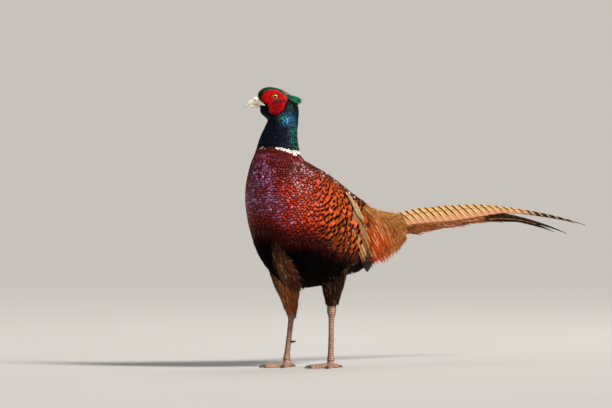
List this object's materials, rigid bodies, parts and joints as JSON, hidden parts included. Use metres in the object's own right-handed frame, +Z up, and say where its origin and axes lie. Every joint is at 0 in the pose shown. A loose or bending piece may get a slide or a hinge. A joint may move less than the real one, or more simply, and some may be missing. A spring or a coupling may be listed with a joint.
{
  "type": "common pheasant",
  "caption": "Life-size cock pheasant standing with its head turned aside, long pointed tail held level behind, folded wings, red face wattles and ear tufts.",
  "frame": {"origin": "centre of the bounding box at floor level", "axes": "+Z up, the bird faces -Y with its tail along +Y, and its left side is +X"},
  "size_m": [0.1408, 0.692, 0.4074],
  "materials": {
    "breast": "copper-chestnut body feathers with a purple sheen",
    "neck": "glossy blue-green feathers",
    "wattle": "matt, finely beaded bare skin",
    "horn": "smooth horn",
    "iris": "wet and glossy",
    "wing": "barred feathers",
    "tail": "barred buff feathers with rufous fringes",
    "thigh": "soft brown feathers",
    "leg": "dry scutes",
    "claw": "horn"
  },
  "bodies": {
    "root": {"torso": "breast", "neck": "neck", "head": "neck", "bill_upper": "horn", "bill_lower": "horn", "eye_left": "iris", "eye_right": "iris", "wattle_left": "wattle", "wattle_right": "wattle", "wing_left": "wing", "wing_right": "wing", "tail": "tail", "thigh_left": "thigh", "thigh_right": "thigh", "shank_left": "leg", "shank_right": "leg", "foot_left": "leg", "foot_right": "leg", "spur_left": "claw", "spur_right": "claw", "claw_inner_left": "claw", "claw_inner_right": "claw", "claw_middle_left": "claw", "claw_middle_right": "claw", "claw_outer_left": "claw", "claw_outer_right": "claw", "claw_hind_left": "claw", "claw_hind_right": "claw"}
  },
  "joints": []
}
